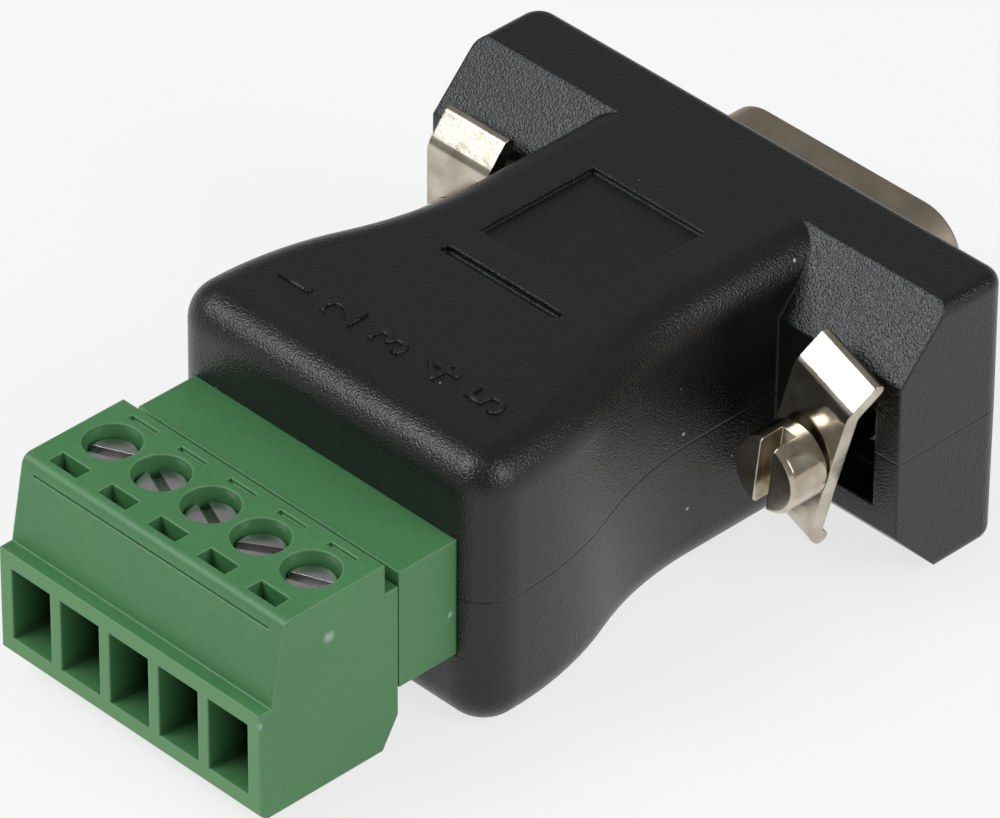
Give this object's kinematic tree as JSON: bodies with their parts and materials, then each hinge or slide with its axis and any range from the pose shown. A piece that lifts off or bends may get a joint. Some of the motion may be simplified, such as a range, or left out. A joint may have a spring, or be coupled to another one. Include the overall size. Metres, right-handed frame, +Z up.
{
  "type": "d-sub terminal block adapter",
  "caption": "Black hooded adapter with a D-sub socket connector and jackscrews at one end and a green plug-in screw terminal block at the other.",
  "frame": {"origin": "midway between the two jackscrew axes, on the front of the hood, in the plane where the two halves of the hood meet", "axes": "+Y is the way the D-sub connector is pushed home, +X runs across the jackscrews, +Z is up, to the side with the clamp screws and the wide row of the connector"},
  "size_m": [0.033, 0.0489, 0.016],
  "materials": {
    "hood_black": "fine textured",
    "terminal_green": "satin",
    "shell_tin": "tin plated, satin",
    "insulator_black": "satin",
    "contact_brass": "gold flashed",
    "pin_tin": "tin plated",
    "board_green": "solder mask",
    "chip_black": "moulded",
    "capacitor_ceramic": "ceramic",
    "clip_nickel": "nickel plated",
    "screw_zinc": "zinc plated"
  },
  "bodies": {
    "housing": {"top_shell": "hood_black", "bottom_shell": "hood_black", "dsub_front_shell": "shell_tin", "dsub_rear_shell": "shell_tin", "insulator": "insulator_black", "socket_contacts": "contact_brass", "circuit_board": "board_green", "driver_chips": "chip_black", "capacitors": "capacitor_ceramic", "resistors": "chip_black", "header_housing": "terminal_green", "header_pins": "pin_tin"},
    "plug": {"plug_body": "terminal_green", "plug_contacts": "pin_tin"},
    "screw_1": {"clamp_screw_1": "screw_zinc"},
    "cage_1": {"clamp_cage_1": "screw_zinc"},
    "screw_2": {"clamp_screw_2": "screw_zinc"},
    "cage_2": {"clamp_cage_2": "screw_zinc"},
    "screw_3": {"clamp_screw_3": "screw_zinc"},
    "cage_3": {"clamp_cage_3": "screw_zinc"},
    "screw_4": {"clamp_screw_4": "screw_zinc"},
    "cage_4": {"clamp_cage_4": "screw_zinc"},
    "screw_5": {"clamp_screw_5": "screw_zinc"},
    "cage_5": {"clamp_cage_5": "screw_zinc"},
    "left_clip": {"retaining_clip_left": "clip_nickel"},
    "left_jackscrew": {"jackscrew_left": "clip_nickel"},
    "right_clip": {"retaining_clip_right": "clip_nickel"},
    "right_jackscrew": {"jackscrew_right": "clip_nickel"}
  },
  "joints": [
    {"name": "plug_pull", "type": "slide", "parent": "housing", "child": "plug", "axis": [0, -1, 0], "range_m": [0, 0.012]},
    {"name": "cage_rise_1", "type": "slide", "parent": "plug", "child": "cage_1", "axis": [0, 0, 1], "range_m": [0, 0.002]},
    {"name": "screw_turn_1", "type": "hinge", "parent": "plug", "child": "screw_1", "pos_m": [-0.007, -0.0378, 0.0037], "axis": [0, 0, -1], "range_deg": [0, 1800]},
    {"name": "cage_rise_2", "type": "slide", "parent": "plug", "child": "cage_2", "axis": [0, 0, 1], "range_m": [0, 0.002]},
    {"name": "screw_turn_2", "type": "hinge", "parent": "plug", "child": "screw_2", "pos_m": [-0.0035, -0.0378, 0.0037], "axis": [0, 0, -1], "range_deg": [0, 1800]},
    {"name": "cage_rise_3", "type": "slide", "parent": "plug", "child": "cage_3", "axis": [0, 0, 1], "range_m": [0, 0.002]},
    {"name": "screw_turn_3", "type": "hinge", "parent": "plug", "child": "screw_3", "pos_m": [0, -0.0378, 0.0037], "axis": [0, 0, -1], "range_deg": [0, 1800]},
    {"name": "cage_rise_4", "type": "slide", "parent": "plug", "child": "cage_4", "axis": [0, 0, 1], "range_m": [0, 0.002]},
    {"name": "screw_turn_4", "type": "hinge", "parent": "plug", "child": "screw_4", "pos_m": [0.0035, -0.0378, 0.0037], "axis": [0, 0, -1], "range_deg": [0, 1800]},
    {"name": "cage_rise_5", "type": "slide", "parent": "plug", "child": "cage_5", "axis": [0, 0, 1], "range_m": [0, 0.002]},
    {"name": "screw_turn_5", "type": "hinge", "parent": "plug", "child": "screw_5", "pos_m": [0.007, -0.0378, 0.0037], "axis": [0, 0, -1], "range_deg": [0, 1800]},
    {"name": "left_clip_slide", "type": "slide", "parent": "housing", "child": "left_clip", "axis": [0, 1, 0], "range_m": [-0.0035, 0.00075]},
    {"name": "left_jackscrew_turn", "type": "hinge", "parent": "left_clip", "child": "left_jackscrew", "pos_m": [-0.01249, 0, 0], "axis": [0, 1, 0], "continuous": true},
    {"name": "right_clip_slide", "type": "slide", "parent": "housing", "child": "right_clip", "axis": [0, 1, 0], "range_m": [-0.0035, 0.001]},
    {"name": "right_jackscrew_turn", "type": "hinge", "parent": "right_clip", "child": "right_jackscrew", "pos_m": [0.01249, 0, 0], "axis": [0, 1, 0], "continuous": true}
  ],
  "couplings": [
    {"joint": "screw_turn_1", "follows": "cage_rise_1", "rad_per_m": 15708},
    {"joint": "screw_turn_2", "follows": "cage_rise_2", "rad_per_m": 15708},
    {"joint": "screw_turn_3", "follows": "cage_rise_3", "rad_per_m": 15708},
    {"joint": "screw_turn_4", "follows": "cage_rise_4", "rad_per_m": 15708},
    {"joint": "screw_turn_5", "follows": "cage_rise_5", "rad_per_m": 15708}
  ]
}
